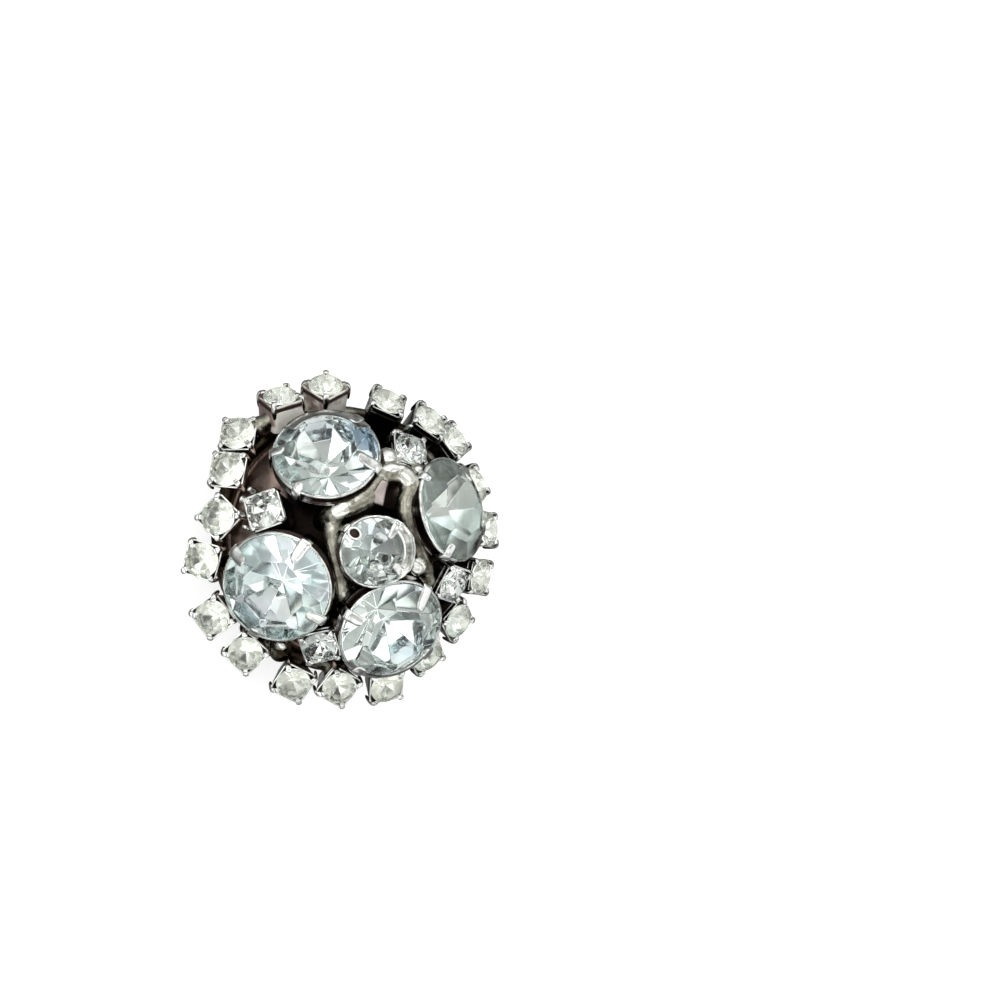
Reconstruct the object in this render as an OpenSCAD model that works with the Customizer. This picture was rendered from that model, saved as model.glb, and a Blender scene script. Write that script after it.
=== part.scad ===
// Clip-on earring: a dome of cut stones in soldered cups, with a clip behind it.
// It lies on the clip's paddle, dome up. +Y is the top edge as worn.

/* [Stones] */
// Girdle diameter of the four main stones
main_d = 8.2; // [7.6:0.1:8.3]
// Girdle diameter of the centre stone
centre_d = 5.1; // [4.4:0.1:5.1]
// Girdle diameter of the accent and rim stones
small_d = 2.6; // [2.5:0.05:2.65]
// Air between a stone and the metal round it
stone_gap = 0.07; // [0.05:0.01:0.1]

/* [Dome] */
// Radius of the dome that the stones' girdles follow
dome_r = 14; // [13.8:0.1:14.4]
// Outer radius of the domed back plate
shell_r = 11.2; // [11:0.1:11.5]
// Sheet thickness of the domed back plate
shell_t = 0.9; // [0.7:0.1:1.2]
// Height of the back plate's edge over the dome's centre
edge_rise = 4.6; // [4.2:0.1:5]
// Thickness of the ring along the back plate's edge
edge_ring_d = 1.4; // [1.2:0.1:1.6]

/* [Cups] */
// Sheet thickness of the cups
cup_wall = 0.25; // [0.2:0.05:0.3]
// Height of a round cup's lip over its stone's girdle
cup_lip = 0.2; // [0.1:0.05:0.3]
// Width of a main cup's claws
main_claw_w = 1.2; // [1:0.1:1.6]
// Width of the centre cup's claws
centre_claw_w = 0.9; // [0.7:0.1:1.2]
// Depth of a square cup's lip under its stone's girdle
square_lip = 0.1; // [0.1:0.05:0.2]
// Depth of a main cup under its stone's girdle
main_depth = 3.6; // [3.4:0.1:3.7]
// Depth of the centre cup
centre_depth = 3.4; // [3.3:0.1:3.7]
// Depth of an accent cup
accent_depth = 3.1; // [3:0.1:3.4]
// Depth of a rim cup
rim_depth = 2.4; // [2.2:0.1:2.6]
// Sheet thickness of the square cups
square_wall = 0.2; // [0.15:0.05:0.2]
// Outside width of a square cup at its mouth
square_w = 2.95; // [2.95:0.05:3.1]
// Width of a square cup's corner claws
square_claw_w = 0.5; // [0.4:0.05:0.6]
// Height of the rim stones' girdles over the back plate's edge
rim_rise = 2.4; // [2.2:0.1:2.6]

/* [Solder bars] */
// Thickness of the solder bars round the centre cup
bar_d = 1.1; // [0.8:0.1:1.2]

/* [Clip] */
// Sheet thickness of the clip
clip_t = 0.9; // [0.8:0.1:1]
// Clear height for the ear lobe
lobe_gap = 4.6; // [4.4:0.1:5.5]
// Width of the clip's strap and base plate
strap_w = 4.4; // [3.6:0.1:4.6]
// Width of the clip's paddle
paddle_w = 8.6; // [7:0.1:9]
// Length of the paddle's straight sides
paddle_side = 2.4; // [1:0.1:4]
// Distance of the clip's bend from the middle
bend_y = 6; // [5.5:0.1:6.2]
// Width of the bridge that carries the clip
bridge_w = 5; // [4.8:0.1:5.4]
// Thickness of the bridge
bridge_t = 0.8; // [0.6:0.1:1]

/* [Hidden] */
back_z = 2 * clip_t + lobe_gap;
dome_z = back_z - edge_rise;
rim_z = back_z + rim_rise;
edge_ring_r = sqrt(shell_r ^ 2 - edge_rise ^ 2) - 0.2;

// Shares of a stone's girdle radius that set its facets
table_share = 0.53;
star_share = 0.79;
crown_share = 0.32;
girdle_share = 0.06;
pavilion_share = 0.78;
lower_share = 0.5;

// Columns of the tables below: bearing round the dome, distance from its axis,
// height over the dome or the rim's level, outward lean, turn in the seat,
// and how far the lean points away from the bearing
AZIMUTH = 0;
RADIUS = 1;
RISE = 2;
LEAN = 3;
TURN = 4;
SWAY = 5;

// Top, right, lower right, left
MAIN = [
    [115, 7.2, 0, 31, 50, 0],
    [16, 7.6, 0, 33, 82, 0],
    [287, 7.5, 0, 32, 41, 0],
    [210, 7.9, 0, 34, 38, 0],
];

CENTRE = [272, 1.2, 0.6, 4, 35, 0];

// Bearings of the four claws of each round cup, from its outward side
MAIN_CLAWS = [
    [60, 118, 220, 293],
    [82, 172, 262, 352],
    [41, 131, 225, 311],
    [38, 121, 212, 317],
];
CENTRE_CLAWS = [53, 139, 230, 335];

// Top right, lower right, bottom, left
ACCENT = [
    [60, 8, 0, 35, 20, 0],
    [334, 8.5, 0.1, 38, 28, -20],
    [250, 9.3, 0, 40, 40, 0],
    [166, 8.2, 0, 36, 30, 0],
];

// Clockwise from the top
RIM = [
    [98, 12.3, 0, 52, 28, 0],
    [73, 11.5, 0.4, 46, -8, 0],
    [54.5, 11.7, 0.7, 42, 5, 0],
    [41, 12.3, -0.6, 44, -8, 0],
    [22, 11.7, 0.2, 44, 12, 0],
    [4, 12, 0, 46, -5, 0],
    [345, 11.8, -0.3, 42, 8, 0],
    [325, 11.5, 0, 38, -12, 0],
    [306, 11.6, 0, 36, -3, 0],
    [286, 12.4, 0, 34, -6, 0],
    [267, 12, 0.2, 30, -27, 0],
    [250, 12.4, -0.4, 32, -6, 0],
    [228, 12.4, 0, 30, 0, 0],
    [210, 12.7, 0, 34, 9, 0],
    [189, 12.1, 0.2, 34, -24, 0],
    [172, 10.9, 0.8, 34, -37, 0],
    [152, 11.3, 0.6, 36, 18, 0],
    [137, 12.1, -0.5, 40, 35, 0],
    [116, 12.5, 0, 50, 25, -20],
];

// Outline of a square cup's claw from its root, each point the distance from the
// cup's axis as a share of the cup's width, and the height over the girdle
SQUARE_CLAW = [[0.69, -0.3], [0.69, 0.3], [0.34, 0.52], [0.32, 0.33], [0.54, 0.1], [0.54, -0.3]];

// Middle lines of the solder bars; their ends run down into the back plate
BARS = [
    [[-3.4, 1.4, 12], [-3.1, 1.4, 14.4], [-2.4, 2, 15.2], [-0.6, 2.6, 15.5],
     [1.2, 3.2, 15.4], [2.6, 4.2, 14.9], [3.1, 4.8, 12]],
    [[2.6, 4.2, 14.9], [3.5, 3, 15.2], [3.7, 0.8, 15.2], [3.9, -1.4, 14.9],
     [4.5, -3, 14.2], [4.6, -3.4, 11.6]],
    [[-3.1, 1.4, 14.4], [-3.1, -0.4, 15], [-2.6, -2.4, 15], [-2.3, -4.4, 14.4],
     [-2.6, -6.4, 13], [-2.6, -7, 10.6]],
];

function two_digits(n) = str(n < 10 ? "0" : "", n);

MAIN_NODES = [for (i = [1:len(MAIN)]) str("main_stone_", i)];
ACCENT_NODES = [for (i = [1:len(ACCENT)]) str("accent_stone_", i)];
RIM_NODES = [for (i = [1:len(RIM)]) str("rim_stone_", two_digits(i))];

function ring_points(n, r, z, start = 0) =
    [for (i = [0:n - 1]) [r * cos(start + i * 360 / n), r * sin(start + i * 360 / n), z]];

// Height over a line from point a to point b, each [radius, height]
function height_on(a, b, r) = a[1] + (b[1] - a[1]) * (r - a[0]) / (b[0] - a[0]);

// A round cut stone, table up, its girdle round the origin: an octagonal table,
// 8 stars, 8 kites and 16 halves above the girdle, 16 halves and 8 kites below
module cut_stone(d, grow = 0) {
    share = d / 2;
    r = share + grow;
    table = [table_share * share, crown_share * share + grow];
    girdle = [r, girdle_share * share / 2 + grow];
    culet_z = -pavilion_share * share - grow;
    star_r = star_share * r;
    lower_r = lower_share * r;
    points = concat(
        ring_points(8, table[0], table[1]),
        ring_points(8, star_r, height_on(table, girdle, star_r * cos(22.5)), 22.5),
        ring_points(16, r, girdle[1]),
        ring_points(16, r, -girdle[1]),
        ring_points(8, lower_r,
            height_on([0, culet_z], [r, -girdle[1]], lower_r * cos(22.5)), 22.5),
        [[0, 0, culet_z]]
    );
    star = 8;
    upper = 16;
    lower = 32;
    pavilion = 48;
    culet = 56;
    faces = concat(
        [[for (i = [7:-1:0]) i]],
        [for (i = [0:7]) [i, (i + 1) % 8, star + i]],
        [for (i = [0:7]) [i, star + i, upper + 2 * i, star + (i + 7) % 8]],
        [for (i = [0:7]) [star + i, upper + 2 * i + 1, upper + 2 * i]],
        [for (i = [0:7]) [star + i, upper + (2 * i + 2) % 16, upper + 2 * i + 1]],
        [for (i = [0:15])
            [upper + i, upper + (i + 1) % 16, lower + (i + 1) % 16, lower + i]],
        [for (i = [0:7]) [pavilion + i, lower + 2 * i, lower + 2 * i + 1]],
        [for (i = [0:7]) [pavilion + i, lower + 2 * i + 1, lower + (2 * i + 2) % 16]],
        [for (i = [0:7]) [culet, pavilion + (i + 7) % 8, lower + 2 * i, pavilion + i]]
    );
    polyhedron(points, faces);
}

// Stands its children where a row of a table says
module seat(row, base_z) {
    rotate([0, 0, row[AZIMUTH]])
        translate([row[RADIUS], 0, base_z + row[RISE]])
            rotate([0, 0, row[SWAY]])
                rotate([0, row[LEAN], 0])
                    rotate([0, 0, row[TURN]])
                        children();
}

function dome_height(row) = dome_z + sqrt(dome_r ^ 2 - row[RADIUS] ^ 2);

module main_stone(i, grow = 0) {
    color("azure") seat(MAIN[i], dome_height(MAIN[i])) cut_stone(main_d, grow);
}

module centre_stone(grow = 0) {
    color("lightcyan") seat(CENTRE, dome_height(CENTRE)) cut_stone(centre_d, grow);
}

module accent_stone(i, grow = 0) {
    color("mintcream") seat(ACCENT[i], dome_height(ACCENT[i])) cut_stone(small_d, grow);
}

module rim_stone(i, grow = 0) {
    color("ivory") seat(RIM[i], rim_z) cut_stone(small_d, grow);
}

// A claw along +X over a round cup: a leg up the wall and a tip bent over the stone
module round_claw(wall_r, width, leg, reach, tip_z) {
    over_lip = 0.1;
    module root(drop) {
        translate([wall_r - cup_wall / 2, -width / 2, -drop])
            cube([cup_wall, width, drop + cup_lip + over_lip]);
    }
    root(leg);
    hull() {
        root(0);
        translate([wall_r - reach, -width / 4, tip_z - cup_wall])
            cube([cup_wall, width / 2, cup_wall]);
    }
}

// A round cup that tapers to a closed foot, with claws at the given bearings
module round_cup(row, base_z, d, depth, claws, claw_w) {
    inner_r = d / 2 + 1.8 * stone_gap;
    outer_r = inner_r + cup_wall;
    foot_r = 0.46 * outer_r;
    shoulder = 0.15 * depth;
    claw_leg = 0.3 * depth;
    claw_reach = 0.14 * d;
    claw_top = 0.34 * crown_share * d;
    seat(row, base_z) rotate([0, 0, -row[TURN]]) {
        rotate_extrude($fn = 20) polygon([
            [0, -depth], [foot_r, -depth], [outer_r, -shoulder], [outer_r, cup_lip],
            [inner_r, cup_lip], [inner_r, -shoulder], [0, -depth + cup_wall],
        ]);
        for (bearing = claws)
            rotate([0, 0, bearing])
                round_claw(outer_r, claw_w, claw_leg, claw_reach, claw_top);
    }
}

// A square cup with a claw bent in from each corner
module square_cup(depth) {
    foot_w = 0.88 * square_w;
    hollow_w = square_w - 2 * square_wall;
    hollow_foot_w = hollow_w - 0.2;
    hollow_depth = 0.6 * depth;
    difference() {
        translate([0, 0, -depth])
            linear_extrude(depth - square_lip, scale = square_w / foot_w)
                square(foot_w, center = true);
        translate([0, 0, -hollow_depth])
            linear_extrude(hollow_depth, scale = hollow_w / hollow_foot_w)
                square(hollow_foot_w, center = true);
    }
    for (corner = [45:90:315])
        rotate([0, 0, corner]) translate([0, square_claw_w / 2, 0]) rotate([90, 0, 0])
            linear_extrude(square_claw_w)
                polygon([for (p = SQUARE_CLAW) [p[0] * square_w, p[1]]]);
}

// A rim cup and the foot that solders it to the edge ring
module rim_cup(row) {
    foot_w = 1.8;
    foot_t = 0.4;
    pad = [0.7, 1.6, 0.7];
    seat(row, rim_z) square_cup(rim_depth);
    hull() {
        seat(row, rim_z) translate([0, 0, -rim_depth + 0.3])
            cube([foot_w, foot_w, foot_t], center = true);
        rotate([0, 0, row[AZIMUTH]])
            translate([edge_ring_r, 0, back_z + edge_ring_d / 2]) cube(pad, center = true);
    }
}

// The domed back plate, open below, with the ring along its edge
module back_plate() {
    steps = 4;
    // The sheet ends inside the ring
    end_rise = edge_rise + 0.6 * edge_ring_d;
    outer_polar = acos(end_rise / shell_r);
    inner_shell_r = shell_r - shell_t;
    inner_polar = acos(end_rise / inner_shell_r);
    rotate_extrude($fn = 32) polygon(concat(
        [for (i = [0:steps]) let (p = outer_polar * i / steps)
            [shell_r * sin(p), dome_z + shell_r * cos(p)]],
        [for (i = [steps:-1:0]) let (p = inner_polar * i / steps)
            [inner_shell_r * sin(p), dome_z + inner_shell_r * cos(p)]]
    ));
    rotate_extrude($fn = 32)
        translate([edge_ring_r, back_z + edge_ring_d / 2]) circle(d = edge_ring_d, $fn = 6);
    translate([-bridge_w / 2, -edge_ring_r, back_z]) cube([bridge_w, 2 * edge_ring_r, bridge_t]);
}

module solder_bar(line) {
    for (i = [0:len(line) - 2])
        hull() {
            translate(line[i]) sphere(d = bar_d, $fn = 6);
            translate(line[i + 1]) sphere(d = bar_d, $fn = 6);
        }
}

module setting_frame() {
    color("silver") difference() {
        union() {
            back_plate();
            for (i = [0:len(MAIN) - 1])
                round_cup(MAIN[i], dome_height(MAIN[i]), main_d, main_depth, MAIN_CLAWS[i],
                    main_claw_w);
            round_cup(CENTRE, dome_height(CENTRE), centre_d, centre_depth, CENTRE_CLAWS,
                centre_claw_w);
            for (row = ACCENT) seat(row, dome_height(row)) square_cup(accent_depth);
            for (row = RIM) rim_cup(row);
            for (line = BARS) solder_bar(line);
        }
        for (i = [0:len(MAIN) - 1]) main_stone(i, stone_gap);
        centre_stone(stone_gap);
    }
}

// Base plate, bend and paddle of one strip of metal
module ear_clip() {
    bend_r = lobe_gap / 2;
    paddle_r = paddle_w / 2;
    color("silver") {
        translate([0, -paddle_side / 2, 0]) cylinder(r = paddle_r, h = clip_t, $fn = 64);
        translate([0, paddle_side / 2, 0]) cylinder(r = paddle_r, h = clip_t, $fn = 64);
        translate([-paddle_r, -paddle_side / 2, 0]) cube([paddle_w, paddle_side, clip_t]);
        translate([-strap_w / 2, 0, 0]) cube([strap_w, bend_y, clip_t]);
        translate([-strap_w / 2, bend_y, clip_t + bend_r])
            rotate([90, 0, 90]) linear_extrude(strap_w) bend_section(bend_r);
        translate([-strap_w / 2, -bend_y + strap_w / 2, clip_t + lobe_gap])
            cube([strap_w, 2 * bend_y - strap_w / 2, clip_t]);
        translate([0, -bend_y + strap_w / 2, clip_t + lobe_gap])
            cylinder(d = strap_w, h = clip_t, $fn = 48);
    }
}

// Half a ring, the section of the clip's bend
module bend_section(bend_r) {
    outer_r = bend_r + clip_t;
    difference() {
        circle(r = outer_r, $fn = 64);
        circle(r = bend_r, $fn = 64);
        translate([-2 * outer_r, -2 * outer_r]) square([2 * outer_r, 4 * outer_r]);
    }
}

setting_frame();
ear_clip();
centre_stone();
for (i = [0:len(MAIN) - 1])
    main_stone(i);
for (i = [0:len(ACCENT) - 1])
    accent_stone(i);
for (i = [0:len(RIM) - 1])
    rim_stone(i);
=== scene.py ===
"""Looks of a clip-on earring: cut stones, soldered cups and claws, back plate and clip.

The pieces are modelled in millimetres round the origin and then seated in metres in the
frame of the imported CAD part.
"""

import math
import random

import bmesh
import bpy
import numpy as np
from mathutils import Matrix, Vector


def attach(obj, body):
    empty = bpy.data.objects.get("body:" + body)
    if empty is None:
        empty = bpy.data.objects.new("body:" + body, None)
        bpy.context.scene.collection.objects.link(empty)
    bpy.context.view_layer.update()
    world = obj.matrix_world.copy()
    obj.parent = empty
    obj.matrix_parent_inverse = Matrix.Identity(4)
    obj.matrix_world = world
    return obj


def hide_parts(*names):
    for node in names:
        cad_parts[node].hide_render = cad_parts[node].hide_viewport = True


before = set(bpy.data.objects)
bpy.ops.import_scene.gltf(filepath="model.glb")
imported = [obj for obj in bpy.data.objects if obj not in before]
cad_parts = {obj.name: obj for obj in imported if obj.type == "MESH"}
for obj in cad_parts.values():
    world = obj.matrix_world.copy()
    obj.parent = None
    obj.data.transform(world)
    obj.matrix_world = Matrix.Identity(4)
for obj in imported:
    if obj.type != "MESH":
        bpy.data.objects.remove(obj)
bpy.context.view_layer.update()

MM = 0.001
TURN = 2 * math.pi

# Middle of the dome that the stones follow, and the level of the setting's flat back
DOME_CENTRE = Vector((0, 0, 1.8))
BACK_Z = 6.4

RANDOM = random.Random(5)

MAIN_STONES = [f"main_stone_{i}" for i in range(1, 5)]
ACCENT_STONES = [f"accent_stone_{i}" for i in range(1, 5)]
RIM_STONES = [f"rim_stone_{i:02d}" for i in range(1, 20)]


# Ways of working on a piece

def put_in_scene(thing):
    """Links a new object to the scene."""
    bpy.context.scene.collection.objects.link(thing)


def select_alone(piece):
    """Makes a piece the only one that is selected, and the active one."""
    bpy.ops.object.select_all(action="DESELECT")
    piece.select_set(True)
    bpy.context.view_layer.objects.active = piece


def begin(add, name, **place):
    """Adds one primitive and opens it in edit mode, all of it selected."""
    bpy.ops.object.select_all(action="DESELECT")
    add(**place)
    piece = bpy.context.active_object
    piece.name = piece.data.name = name
    edit()
    bpy.ops.mesh.select_mode(type="VERT")
    select_whole()
    return piece


def edit():
    """Enters edit mode."""
    bpy.ops.object.mode_set(mode="EDIT")


def done():
    """Leaves edit mode."""
    bpy.ops.object.mode_set(mode="OBJECT")


def select_whole():
    """Selects the whole mesh in edit mode."""
    bpy.ops.mesh.select_all(action="SELECT")


def pick(piece, kind, wanted):
    """Selects in edit mode only the verts, edges or faces that are wanted."""
    bpy.ops.mesh.select_mode(type={"verts": "VERT", "edges": "EDGE", "faces": "FACE"}[kind])
    bpy.ops.mesh.select_all(action="DESELECT")
    mesh = bmesh.from_edit_mesh(piece.data)
    for part in getattr(mesh, kind):
        if wanted(part):
            part.select_set(True)
    mesh.select_flush_mode()
    bmesh.update_edit_mesh(piece.data)


def extrude(shift):
    """Draws a new stretch out of what is selected."""
    bpy.ops.mesh.extrude_region_move(TRANSFORM_OT_translate={"value": shift})


def grow(share, centre, axes=(1, 1, 1)):
    """Scales what is selected round a point along the chosen axes."""
    value = [1 + (share - 1) * a for a in axes]
    bpy.ops.transform.resize(value=value, center_override=centre)


def cut(level):
    """Adds a loop round everything at one height."""
    select_whole()
    bpy.ops.mesh.bisect(plane_co=(0, 0, level), plane_no=(0, 0, 1), threshold=1e-5)


def finish_with(piece, kind, name, **values):
    """Adds a modifier with its values and applies it."""
    select_alone(piece)
    modifier = piece.modifiers.new(name, kind)
    for key, value in values.items():
        setattr(modifier, key, value)
    bpy.ops.object.modifier_apply(modifier=name)


def round_edges(piece, width, segments=2, angle=30):
    finish_with(piece, "BEVEL", "round_edges", width=width, segments=segments,
                limit_method="ANGLE", angle_limit=math.radians(angle), use_clamp_overlap=True)


def fuse(piece, voxel):
    """Melts overlapping solids into one skin, as solder does."""
    finish_with(piece, "REMESH", "fuse", mode="VOXEL", voxel_size=voxel)
    finish_with(piece, "SMOOTH", "settle", factor=0.5, iterations=6)


def roughen(piece, grain, height):
    """Moves the skin in and out by a soft lumpy pattern, grain across."""
    pattern = bpy.data.textures.new("lumps", "CLOUDS")
    pattern.noise_scale = grain
    finish_with(piece, "DISPLACE", "roughen", texture=pattern, strength=height, mid_level=0.5)


def shade(piece, angle=None):
    """Shades a piece smooth, all over or but for its edges sharper than an angle."""
    select_alone(piece)
    if angle is None:
        bpy.ops.object.shade_smooth()
    else:
        bpy.ops.object.shade_smooth_by_angle(angle=math.radians(angle))


def between(value, low, high):
    """Rises smoothly from 0 at low to 1 at high."""
    share = min(max((value - low) / (high - low), 0), 1)
    return share * share * (3 - 2 * share)


def mark_tone(piece, tone_at):
    """Keeps how bright the metal is painted at each point: 0 is black, for tarnishing and for
    painted shade in hollows and under things, 1 is polished, and more is a painted highlight."""
    layer = piece.data.attributes.get("tone") or piece.data.attributes.new("tone", "FLOAT", "POINT")
    layer.data.foreach_set("value", [tone_at(v.co) for v in piece.data.vertices])


def join(pieces, name):
    """Makes one piece of several."""
    select_alone(pieces[0])
    for piece in pieces:
        piece.select_set(True)
    bpy.ops.object.join()
    pieces[0].name = pieces[0].data.name = name
    return pieces[0]


def moved_copy(piece, place):
    """A copy with its own mesh, placed in the modelling space."""
    twin = piece.copy()
    twin.data = piece.data.copy()
    twin.data.transform(place)
    put_in_scene(twin)
    return twin


def copy_of(piece, name, place):
    """A copy with its own mesh, at its place in metres."""
    twin = moved_copy(piece, place @ Matrix.Scale(MM, 4))
    twin.name = twin.data.name = name
    return twin


def discard(*pieces):
    """Removes masters whose copies are in place."""
    for piece in pieces:
        bpy.data.objects.remove(piece)


def lathe(name, profile, steps, arc=None, loop=True):
    """Turns a profile of (radius, height) points round Z, all the way or over an arc given
    as two bearings in degrees. A loop joins the profile's last point to its first."""
    radius, height = profile[0]
    piece = begin(bpy.ops.mesh.primitive_plane_add, name, size=0.1, location=(radius, 0, height))
    bpy.ops.mesh.merge(type="CENTER")
    for (r0, z0), (r1, z1) in zip(profile, profile[1:]):
        extrude((r1 - r0, 0, z1 - z0))
    if loop:
        tips = ((0, 0), (profile[-1][0] - radius, profile[-1][1] - height))
        pick(piece, "verts", lambda v: any(
            math.hypot(v.co.x - x, v.co.z - z) < 1e-4 for x, z in tips))
        bpy.ops.mesh.edge_face_add()
    select_whole()
    sweep = math.radians(arc[1] - arc[0]) if arc else TURN
    bpy.ops.mesh.spin(steps=steps, angle=sweep, center=(0, 0, 0), axis=(0, 0, 1))
    select_whole()
    bpy.ops.mesh.remove_doubles(threshold=1e-4)
    done()
    at_origin(piece)
    edit()
    if arc:
        ends = sorted({round(math.atan2(v.co.y, v.co.x), 3) for v in piece.data.vertices})
        for end in (ends[0], ends[-1]):
            pick(piece, "verts", lambda v: abs(math.atan2(v.co.y, v.co.x) - end) < 2e-3)
            bpy.ops.mesh.edge_face_add()
    select_whole()
    bpy.ops.mesh.normals_make_consistent(inside=False)
    done()
    if arc:
        turn = math.radians(sum(arc) / 2) - (ends[0] + ends[-1]) / 2
        piece.data.transform(Matrix.Rotation(turn, 4, "Z"))
    return piece


def at_origin(piece):
    """Moves a piece's place into its mesh."""
    piece.data.transform(piece.matrix_basis)
    piece.matrix_basis = Matrix.Identity(4)


# Where the stones sit, read from the CAD nodes

def seat_of(node):
    """The matrix of a stone's girdle plane, X outward and Z through its table, and the
    girdle's radius in millimetres."""
    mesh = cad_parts[node].data
    areas = {}
    for face in mesh.polygons:
        key = tuple(round(x, 2) for x in face.normal)
        normal, area = areas.get(key, (Vector(), 0))
        areas[key] = (normal + face.normal * face.area, area + face.area)
    up = max(areas.values(), key=lambda found: found[1])[0].normalized()
    points = [v.co.copy() for v in mesh.vertices]
    top = max(p.dot(up) for p in points)
    table = [p for p in points if top - p.dot(up) < 1e-6]
    middle = sum(table, Vector()) / len(table)
    away = [(p - middle) - up * (p - middle).dot(up) for p in points]
    radius = max(a.length for a in away)
    rim = [p.dot(up) for p, a in zip(points, away) if a.length > 0.999 * radius]
    centre = middle + up * (sum(rim) / len(rim) - middle.dot(up))
    outward = Vector((centre.x, centre.y, 0))
    outward = (outward - up * outward.dot(up)).normalized()
    side = up.cross(outward)
    place = Matrix((outward, side, up)).transposed().to_4x4()
    place.translation = centre
    return place, radius / MM


# Where the tips of a square cup's claws lie in its seat: nearer the axis than this, and
# between these levels over the girdle
TIPS_REACH, TIPS_LOW, TIPS_HIGH = 1.3, 0.4, 0.65


def claw_turn(place):
    """How far a square cup is turned in its seat, read from its claws' tips."""
    frame_points = np.array([v.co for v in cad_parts["setting_frame"].data.vertices])
    inverse = np.array(place.inverted())
    local = (frame_points @ inverse[:3, :3].T + inverse[:3, 3]) / MM
    away, level = np.hypot(local[:, 0], local[:, 1]), local[:, 2]
    tips = local[(away < TIPS_REACH) & (level > TIPS_LOW) & (level < TIPS_HIGH)]
    turns = np.exp(4j * np.arctan2(tips[:, 1], tips[:, 0]))
    return np.angle(turns.sum()) / 4 - math.pi / 4


# Stones that the photograph shows a little finer or steeper than their CAD nodes: share of
# the size, degrees further outward, and shift
FINER = {
    "main_stone_1": (0.965, 6, (0, -0.25, 0)),
    "main_stone_2": (0.95, 5, (-0.15, 0, 0)),
    "rim_stone_19": (1, 12, (0, 0, 0)),
}


def scene_seat(node):
    """The seat of a stone as it is drawn, the girdle's radius there and its share of the
    CAD node's."""
    place, radius = seat_of(node)
    share, tilt, shift = FINER.get(node, (1, 0, (0, 0, 0)))
    lean = Matrix.Rotation(math.radians(tilt), 4, "Y")
    return Matrix.Translation(Vector(shift) * MM) @ place @ lean, radius * share, share


# Cut stones

# Heights and radii of a stone's facets as shares of its girdle radius
TABLE_R, CROWN_Z, GIRDLE_Z, PAVILION_Z = 0.56, 0.33, 0.05, 0.8
SIDES = 8
# How much steeper the breaks between the facets are than the facets, by the girdle
BREAK = 1.22


def on_ring(r, degrees, z):
    """The point at distance r from the axis, at a bearing and a height."""
    a = math.radians(degrees)
    return Vector((r * math.cos(a), r * math.sin(a), z))


def height_on(inner, outer, r):
    """The height at distance r on the straight line through two (distance, height) points."""
    return inner[1] + (outer[1] - inner[1]) * (r - inner[0]) / (outer[0] - inner[0])


def facet_planes():
    """Three points on each facet of a stone of girdle radius 1: eight above, eight below and
    a small break at each corner of the girdle."""
    step = 360 / SIDES
    corner = 1 / math.cos(math.radians(step / 2))
    peak = Vector((0, 0, GIRDLE_Z + BREAK * (CROWN_Z - GIRDLE_Z) / (1 - TABLE_R)))
    point = Vector((0, 0, -GIRDLE_Z - BREAK * (PAVILION_Z - GIRDLE_Z)))
    planes = []
    for i in range(SIDES):
        a = step * i
        table = [on_ring(TABLE_R * corner, a + b, CROWN_Z) for b in (0, step)]
        planes.append((*table, on_ring(1, a + step / 2, GIRDLE_Z)))
        girdle = [on_ring(corner, a + b, -GIRDLE_Z) for b in (0, step)]
        planes.append((*girdle, Vector((0, 0, -PAVILION_Z))))
        for level, tip in ((GIRDLE_Z, peak), (-GIRDLE_Z, point)):
            planes.append((*(on_ring(corner, a + b, level) for b in (-step / 2, step / 2)), tip))
    return planes


def cut_stone(name, radius, edge):
    """A round stone ground facet by facet out of a short bar, its edges a little soft."""
    top, foot = CROWN_Z * radius, -PAVILION_Z * radius
    stone = begin(bpy.ops.mesh.primitive_cylinder_add, name, vertices=96, radius=radius,
                  depth=top - foot, location=(0, 0, (top + foot) / 2), end_fill_type="NGON")
    done()
    at_origin(stone)
    edit()
    for p, q, r in facet_planes():
        normal = (q - p).cross(r - p).normalized()
        if normal.dot(p) < 0:
            normal = -normal
        select_whole()
        bpy.ops.mesh.bisect(plane_co=p * radius, plane_no=normal, use_fill=True,
                            clear_outer=True, threshold=1e-5)
    select_whole()
    bpy.ops.mesh.remove_doubles(threshold=1e-3)
    bpy.ops.mesh.dissolve_limited(angle_limit=math.radians(0.5))
    bpy.ops.mesh.normals_make_consistent(inside=False)
    done()
    round_edges(stone, edge, segments=1, angle=12)
    return stone


def foil_back(stone, clear, back):
    """Glass on the crown and girdle, foil on every facet under the girdle."""
    stone.data.materials.clear()
    stone.data.materials.append(clear)
    stone.data.materials.append(back)
    for face in stone.data.polygons:
        face.material_index = 1 if face.normal.z < -0.2 else 0


def wear_and_shade_foil(stone, place, shares):
    """Keeps how bright the foil is on each facet under the girdle, taken in turn round the stone,
    so that neighbours differ as on an old stone, and darker as painted shade where listed."""
    layer = stone.data.attributes.new("tone", "FLOAT", "FACE")
    turn = place.inverted().to_3x3()
    tones = []
    for face in stone.data.polygons:
        normal = turn @ face.normal
        around = math.degrees(math.atan2(normal.y, normal.x)) % 360
        tones.append(shares[int(around // (360 / SIDES))])
    layer.data.foreach_set("value", tones)


# Metal parts

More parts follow.
